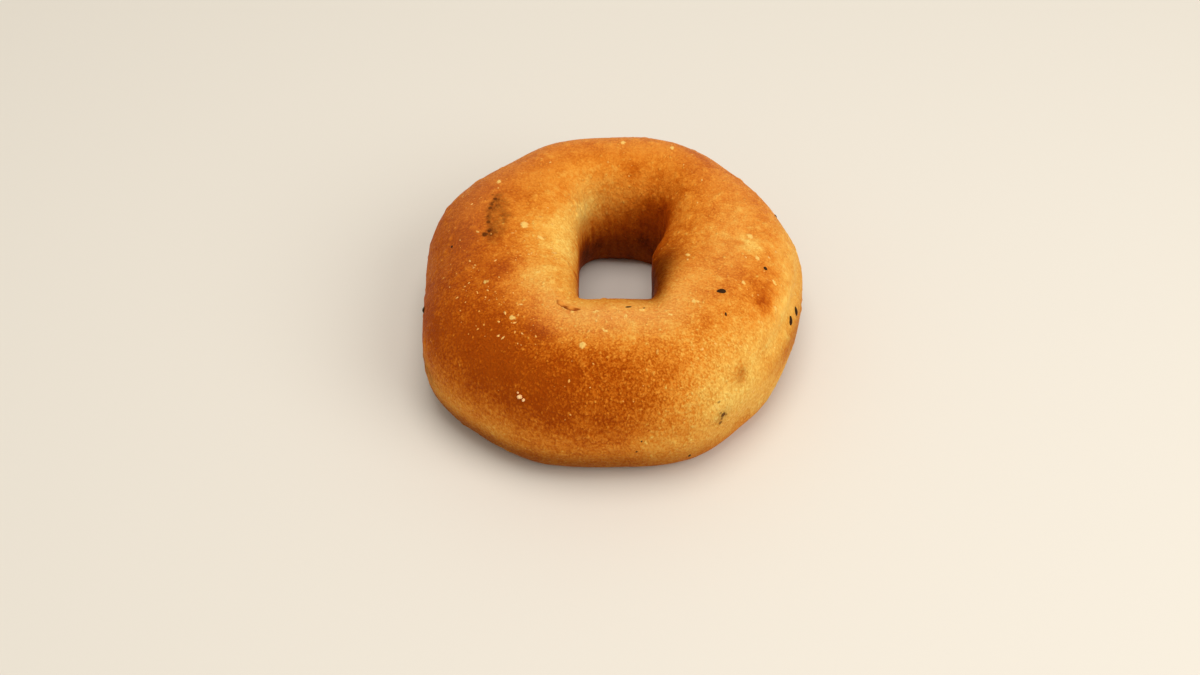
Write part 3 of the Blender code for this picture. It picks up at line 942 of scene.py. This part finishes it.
seeds = {
    # bearing, place, turn, length, width, thickness
    "spots": (
        (323.0, 0.231, 132.0, 2.8, 2.0, 1.2),
        (349.0, 0.173, 10.0, 1.5, 1.4, 1.1),
        (348.5, 0.042, 45.0, 2.8, 1.9, 1.6),
        (343.0, 0.050, 38.0, 2.7, 1.3, 1.3),
        (193.0, 0.055, 175.0, 2.5, 1.5, 2.0),
        (275.5, 0.312, 12.0, 2.0, 0.8, 0.6),
        (316.0, 0.194, 34.0, 1.4, 0.7, 0.6),
        (293.0, 0.905, 90.0, 1.5, 1.0, 0.7),
        (179.0, 0.153, 20.0, 1.1, 0.9, 0.6),
        (282.7, 0.308, 30.0, 0.8, 0.5, 0.4),
        (277.2, 0.970, 60.0, 0.8, 0.6, 0.4),
        (278.5, 0.003, 80.0, 0.8, 0.5, 0.4),
    ),
    "sides": (14, 12),
    "narrowing": 0.45,      # how much a seed narrows to one end
    "sunk": 0.20,           # part of a seed's thickness that its middle lies under the crust
    # seeds of the sides that face away, from the largest to the smallest
    "scatterSeed": 11,
    "scatterCount": 7,
    "scatterBearings": (15.0, 165.0),       # the first bearing, and how far round they lie
    "scatterLoose": (0.2, 0.8),             # where a seed lies in its own stretch
    "scatterPlaces": (-0.01, 0.03, 0.07),
    "scatterSpread": 0.02,
    "scatterLengths": (2.5, 1.4),
    "scatterShape": (0.6, 0.4),             # width and thickness over length
    "colour": (0.020, 0.007, 0.002),
    "worn": (0.044, 0.020, 0.008),
    "mottleSize": 0.35,
    "roughness": 0.5,
    "bump": (0.4, 0.1),
}


def scatteredSeeds():
    draw = random.Random(seeds["scatterSeed"])
    count, spread = seeds["scatterCount"], seeds["scatterSpread"]
    first, sweep = seeds["scatterBearings"]
    longest, shortest = seeds["scatterLengths"]
    wide, thick = seeds["scatterShape"]
    rows = []
    for index in range(count):
        bearing = first + sweep * (index + draw.uniform(*seeds["scatterLoose"])) / count
        place = draw.choice(seeds["scatterPlaces"]) + draw.uniform(-spread, spread)
        length = longest + (shortest - longest) * index / (count - 1)
        rows.append((bearing, place, draw.uniform(0.0, 180.0), length, wide * length, thick * length))
    return rows


def makeSeedMaterial():
    material, shade, shader = newMaterial("darkSeed")
    mottle = noiseField(shade, objectSpots(shade), seeds["mottleSize"])
    colour = mottle.mix((*seeds["colour"], 1.0), (*seeds["worn"], 1.0))
    setFinish(shade, shader, colour, seeds["roughness"], mottle, seeds["bump"], toastedShine)
    return material


def sized(point, length, width, thick):
    return Vector((point.x * length, point.y * width, point.z * thick))


def newPiece(name, bm, material):
    mesh = bpy.data.meshes.new(name)
    bm.to_mesh(mesh)
    bm.free()
    mesh.shade_smooth()
    mesh.materials.append(material)
    piece = bpy.data.objects.new(name, mesh)
    bpy.context.scene.collection.objects.link(piece)
    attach(piece, "root")
    return piece


# A seed is a flattened ball that narrows to one end
def makeSeeds():
    bm = bmesh.new()
    around, lengthwise = seeds["sides"]
    for bearing, place, turn, length, width, thick in seeds["spots"] + tuple(scatteredSeeds()):
        made = bmesh.ops.create_uvsphere(bm, u_segments=around, v_segments=lengthwise, radius=0.5)["verts"]
        bmesh.ops.rotate(bm, verts=made, cent=(0, 0, 0), matrix=Matrix.Rotation(0.5 * math.pi, 3, "Y"))
        for vert in made:
            narrow = 1.0 - seeds["narrowing"] * (0.5 + vert.co.x) ** 2
            vert.co = sized(vert.co, length, width * narrow, thick * narrow)
        bmesh.ops.transform(bm, matrix=crustFrame(bearing, place, turn, seeds["sunk"] * thick), verts=made)
    return newPiece("darkSeeds", bm, makeSeedMaterial())


makeSeeds()
print("seeds", len(seeds["spots"]) + seeds["scatterCount"])

flecks = {
    # bearing, place, spread in degrees, spread round the section and how many flecks lie there
    "clusters": (
        (211.0, 0.215, 17.0, 0.045, 84),
        (258.0, 0.272, 16.0, 0.024, 44),
        (200.0, 0.310, 20.0, 0.040, 40),
        (338.0, 0.185, 18.0, 0.045, 30),
        (285.0, 0.110, 24.0, 0.060, 40),
        (150.0, 0.170, 22.0, 0.035, 22),
        (80.0, 0.270, 50.0, 0.050, 34),
    ),
    "seed": 23,
    "length": (0.42, 1.60),
    "rarity": 2.6,                  # how rare the long ones are
    "slimness": (0.40, 0.85),       # width over length
    "widest": 0.7,
    "thick": 0.12,
    "variety": (0.7, 1.2),          # of the reach of each corner
    "sunk": 0.03,
    "colour": (0.76, 0.33, 0.06),
    "bright": (0.86, 0.49, 0.14),
    "tone": (4.0, 3.0, 0.7),
    "toneEdge": (0.38, 0.62),
    "reliefSize": 0.3,
    "roughness": 0.5,
    "bump": (0.5, 0.1),
}


def makeFleckMaterial():
    material, shade, shader = newMaterial("paleFleck")
    spots = objectSpots(shade)
    tone = noiseField(shade, spots, *flecks["tone"]).between(*flecks["toneEdge"])
    colour = tone.mix((*flecks["colour"], 1.0), (*flecks["bright"], 1.0))
    height = noiseField(shade, spots, flecks["reliefSize"])
    setFinish(shade, shader, colour, flecks["roughness"], height, flecks["bump"], toastedShine)
    return material


# Thin flakes of blistered skin, a few dozen faces each
def makeFlecks():
    draw = random.Random(flecks["seed"])
    shortest, longest = flecks["length"]
    bm = bmesh.new()
    for middleBearing, middlePlace, wide, tall, count in flecks["clusters"]:
        for index in range(count):
            made = bmesh.ops.create_icosphere(bm, subdivisions=1, radius=0.5)["verts"]
            length = shortest + (longest - shortest) * draw.random() ** flecks["rarity"]
            width = min(flecks["widest"], length * draw.uniform(*flecks["slimness"]))
            for vert in made:
                vert.co = sized(vert.co, length, width, flecks["thick"]) * draw.uniform(*flecks["variety"])
            bearing, place = draw.gauss(middleBearing, wide), draw.gauss(middlePlace, tall)
            matrix = crustFrame(bearing, place, draw.uniform(0.0, 180.0), flecks["sunk"])
            bmesh.ops.transform(bm, matrix=matrix, verts=made)
    return newPiece("paleFlecks", bm, makeFleckMaterial())


makeFlecks()
print("flecks", sum(row[-1] for row in flecks["clusters"]))

crumbs = {
    # bearing, place, turn, length, width, thickness
    "spots": (
        (243.8, 0.082, 25.0, 1.3, 1.0, 1.0),
        (245.0, 0.078, 70.0, 0.9, 0.7, 0.6),
        (243.0, 0.089, 10.0, 0.5, 0.5, 0.4),
    ),
    "unevenness": 0.28,
    "coarse": 3.1,          # fineness of its coarse unevenness
    "fine": (7.0, 0.5),     # fineness of its fine unevenness, and its share
    "raised": 0.2,          # part of a grain's thickness that its middle stands over the crust
    "colour": (0.80, 0.42, 0.14),
    "bright": (0.94, 0.64, 0.31),
    "pores": (0.5, 3.0, 0.7),
    "poreEdge": (0.38, 0.58),
    "roughness": 0.7,
    "bump": (0.7, 0.15),
}


def makeCrumbMaterial():
    material, shade, shader = newMaterial("paleCrumb")
    pores = noiseField(shade, objectSpots(shade), *crumbs["pores"])
    colour = pores.between(*crumbs["poreEdge"]).mix((*crumbs["colour"], 1.0), (*crumbs["bright"], 1.0))
    setFinish(shade, shader, colour, crumbs["roughness"], pores, crumbs["bump"], plainShine)
    return material


def makeCrumbs():
    bm = bmesh.new()
    fine, fineShare = crumbs["fine"]
    for bearing, place, turn, length, width, thick in crumbs["spots"]:
        made = bmesh.ops.create_icosphere(bm, subdivisions=4, radius=0.5)["verts"]
        for vert in made:
            uneven = noise.noise(vert.co * crumbs["coarse"] + Vector((bearing, 0.0, 0.0)))
            uneven += fineShare * noise.noise(vert.co * fine)
            vert.co = sized(vert.co, length, width, thick) * (1.0 + crumbs["unevenness"] * uneven)
        matrix = crustFrame(bearing, place, turn, -crumbs["raised"] * thick)
        bmesh.ops.transform(bm, matrix=matrix, verts=made)
    return newPiece("crumb", bm, makeCrumbMaterial())


makeCrumbs()
print("crumb", len(crumbs["spots"]))

curl = {
    "start": (240.3, 0.302),
    "end": (253.5, 0.300),
    "width": 1.35,
    "thick": 0.80,
    "waver": 0.001,         # how far it wanders round the section
    "lift": 0.20,           # part of its thickness that its middle stands over the crust
    "ends": (0.02, 5),      # how thin its ends are, and how late it narrows to them
    "swelling": (0.22, 11.0),       # how much its width varies, and how often
    # stretches of painted shadow under its near edge: where they lie along it, how long and how dark they
    # are
    "shadowStretches": ((0.46, 0.11, 0.90), (0.86, 0.13, 1.00), (0.08, 0.10, 0.40)),
    "shadowFade": (0.35, 1.5),        # how far the painted shadow reaches over its top, and how crisply
    "steps": 48,
    "sides": 14,
    "joined": 0.01,         # distance within which its corners are merged
    "colour": (0.72, 0.27, 0.040),
    "dark": (0.30, 0.07, 0.006),
    "tone": (1.6, 3.0, 0.6),
    "darkBy": (1.2, 0.5, 0.25),     # how much the painted shadow and the tone darken it, and past what level
    "roughness": 0.5,
    "bump": (0.6, 0.1),
}


def makeCurlMaterial():
    material, shade, shader = newMaterial("crustCurl")
    tone = noiseField(shade, objectSpots(shade), *curl["tone"])
    byEdge, byTone, level = curl["darkBy"]
    # Painted shadow under the near edge, with the random tone
    dark = (attributeOf(shade, "edge") * byEdge + tone * byTone - level).clamped()
    colour = dark.mix((*curl["colour"], 1.0), (*curl["dark"], 1.0))
    setFinish(shade, shader, colour, curl["roughness"], tone, curl["bump"], toastedShine)
    return material


# A strip of crust that peeled and curled: a grid rolled into a flat tube with closed ends
def makeCurl():
    bm = bmesh.new()
    bmesh.ops.create_grid(bm, x_segments=curl["steps"], y_segments=curl["sides"], size=0.5)
    (startBearing, startPlace), (endBearing, endPlace) = curl["start"], curl["end"]
    thinnest, lateness = curl["ends"]
    swelling, often = curl["swelling"]
    over, crispness = curl["shadowFade"]
    frames = {}
    layer = bm.verts.layers.float.new("edge")
    for vert in bm.verts:
        share = vert.co.x + 0.5
        if share not in frames:
            bearing = startBearing + share * (endBearing - startBearing)
            place = startPlace + share * (endPlace - startPlace)
            place += curl["waver"] * math.sin(2.0 * math.pi * share)
            frames[share] = crustFrame(bearing, place, 0.0, -curl["lift"] * curl["thick"])
        angle = 2.0 * math.pi * vert.co.y
        swell = max(thinnest, 1.0 - abs(2.0 * share - 1.0) ** lateness)
        swell *= 1.0 + swelling * math.sin(often * share)
        across = 0.5 * curl["width"] * swell * math.cos(angle)
        out = 0.5 * curl["thick"] * swell * math.sin(angle)
        # Painted shadow under the near edge, in stretches along it
        darkest = 0.0
        for middle, long, dark in curl["shadowStretches"]:
            darkest = max(darkest, dark * math.exp(-((share - middle) / long) ** 2))
        vert[layer] = darkest * max(0.0, min(1.0, over - crispness * math.cos(angle)))
        vert.co = frames[share] @ Vector((0.0, across, out))
    bmesh.ops.remove_doubles(bm, verts=bm.verts, dist=curl["joined"] * mm)
    bmesh.ops.holes_fill(bm, edges=bm.edges, sides=curl["sides"] + 2)
    bmesh.ops.recalc_face_normals(bm, faces=bm.faces)
    return newPiece("curl", bm, makeCurlMaterial())


makeCurl()
print("curl")

studio = {
    "floorSize": 8.0,
    "floorColour": (0.72, 0.68, 0.61),
    "floorRoughness": 0.8,
    "fill": 0.60,
    "fillColour": (1.0, 0.94, 0.84),
    "key": {"place": (0.01, -0.02, 0.80), "size": 0.5, "power": 2.65, "colour": (0.99, 0.985, 0.98)},
    "soft": {"place": (0.58, -0.36, 0.60), "size": 0.7, "power": 3.60, "colour": (1.0, 0.98, 0.94)},
}


def makeFloor():
    bm = bmesh.new()
    bmesh.ops.create_grid(bm, x_segments=1, y_segments=1, size=0.5 * studio["floorSize"])
    mesh = bpy.data.meshes.new("floor")
    bm.to_mesh(mesh)
    bm.free()
    floor = bpy.data.objects.new("floor", mesh)
    bpy.context.scene.collection.objects.link(floor)
    material, shade, shader = newMaterial("paleFloor")
    shader.inputs["Base Color"].default_value = (*studio["floorColour"], 1.0)
    shader.inputs["Roughness"].default_value = studio["floorRoughness"]
    mesh.materials.append(material)
    return floor


def makeLight(name, choice):
    data = bpy.data.lights.new(name, "AREA")
    data.shape = "DISK"
    data.size = choice["size"]
    data.energy = choice["power"]
    data.color = choice["colour"]
    light = bpy.data.objects.new(name, data)
    light.location = choice["place"]
    light.rotation_euler = (-Vector(choice["place"])).to_track_quat("-Z", "Y").to_euler()
    bpy.context.scene.collection.objects.link(light)


makeFloor()
makeLight("keyLight", studio["key"])
makeLight("softLight", studio["soft"])
world = bpy.data.worlds.new("studioWorld")
world.use_nodes = True
world.node_tree.nodes["Background"].inputs["Color"].default_value = (*studio["fillColour"], 1.0)
world.node_tree.nodes["Background"].inputs["Strength"].default_value = studio["fill"]
bpy.context.scene.world = world
bpy.context.scene.view_settings.view_transform = "Standard"

camera = {
    "lens": 51.0,
    "sensor": 36.0,
    "elevation": 47.2,
    "distance": 0.468,
    "target": (-0.0039, 0.00006, 0.0),
    "nearest": 0.01,
}


def makeCamera():
    data = bpy.data.cameras.new("camera")
    data.lens = camera["lens"]
    data.sensor_width = camera["sensor"]
    data.clip_start = camera["nearest"]
    made = bpy.data.objects.new("camera", data)
    elevation = math.radians(camera["elevation"])
    back = Vector((0.0, -math.cos(elevation), math.sin(elevation)))
    made.location = Vector(camera["target"]) + back * camera["distance"]
    made.rotation_euler = (0.5 * math.pi - elevation, 0.0, 0.0)
    bpy.context.scene.collection.objects.link(made)
    bpy.context.scene.camera = made


makeCamera()
print("studio ready")
